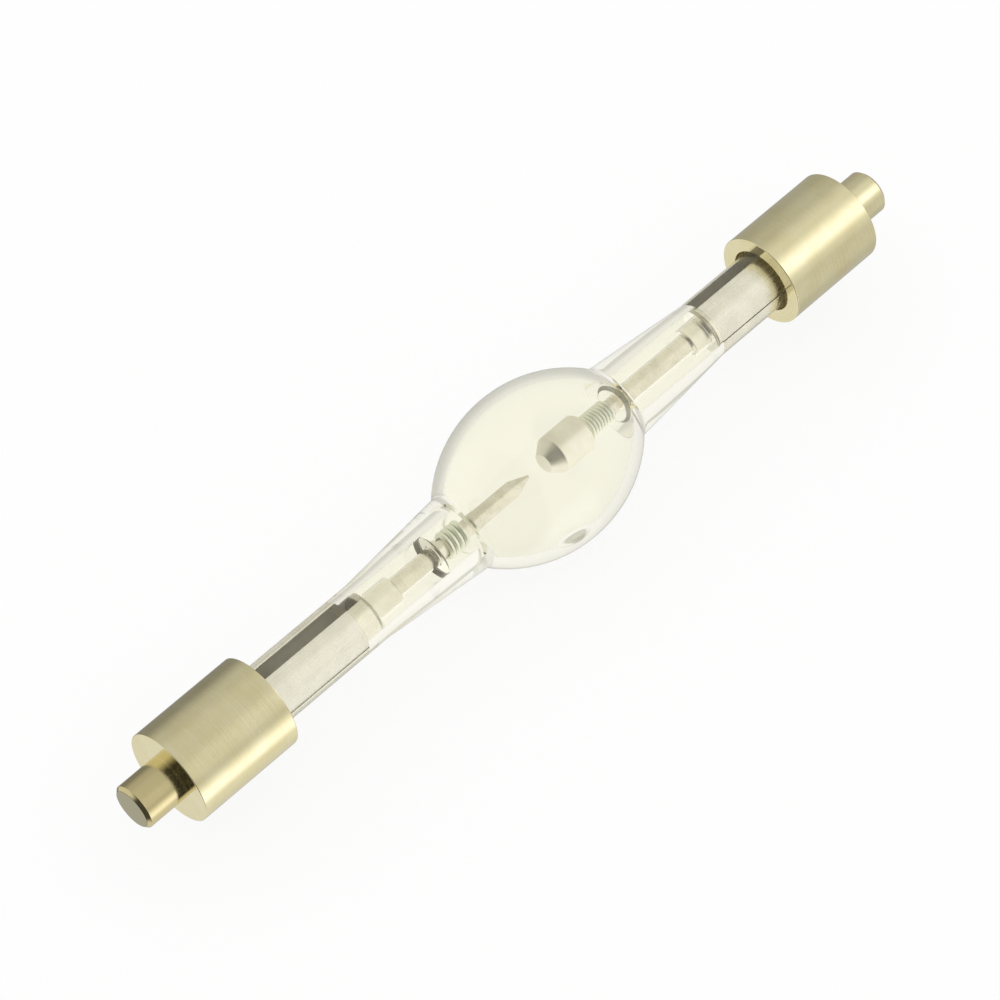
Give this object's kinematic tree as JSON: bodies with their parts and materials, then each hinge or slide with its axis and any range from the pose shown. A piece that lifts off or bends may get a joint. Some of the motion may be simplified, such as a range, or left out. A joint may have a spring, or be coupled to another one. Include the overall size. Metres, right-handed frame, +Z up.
{
  "type": "short arc discharge lamp",
  "caption": "Double-ended arc lamp: clear quartz bulb between two foil-sealed necks, electrodes facing across an arc gap, and a turned brass base with a contact pin at each end.",
  "frame": {"origin": "middle of the arc gap, on the lamp's axis", "axes": "+X along the lamp's axis towards the anode's pin, so the cathode's pin is at -X; -Y towards the exhaust nub on the bulb; +Z up when the lamp lies level"},
  "size_m": [0.2014, 0.035, 0.0342],
  "materials": {
    "quartz": "clear fused quartz with a faint warm tint",
    "seal_quartz": "clear fused quartz",
    "brass": "turned, pale bright plated brass",
    "cement": "dark matt base cement",
    "foil": "thin rolled molybdenum foil",
    "molybdenum": "turned molybdenum",
    "tungsten": "ground tungsten rod",
    "anode_tungsten": "turned tungsten",
    "coil_wire": "drawn tungsten wire"
  },
  "bodies": {
    "root": {"quartz_envelope": "quartz", "anode_head": "anode_tungsten", "cathode_base": "brass", "cathode_cement": "cement", "cathode_outer_lead": "molybdenum", "cathode_outer_disc": "molybdenum", "cathode_seal_core": "seal_quartz", "cathode_foil_1": "foil", "cathode_foil_2": "foil", "cathode_foil_3": "foil", "cathode_inner_disc": "molybdenum", "cathode_support_sleeve": "seal_quartz", "cathode_rod": "tungsten", "cathode_coil": "coil_wire", "anode_base": "brass", "anode_cement": "cement", "anode_outer_lead": "molybdenum", "anode_outer_disc": "molybdenum", "anode_seal_core": "seal_quartz", "anode_foil_1": "foil", "anode_foil_2": "foil", "anode_foil_3": "foil", "anode_inner_disc": "molybdenum", "anode_support_sleeve": "seal_quartz", "anode_rod": "tungsten", "anode_coil": "coil_wire"}
  },
  "joints": []
}
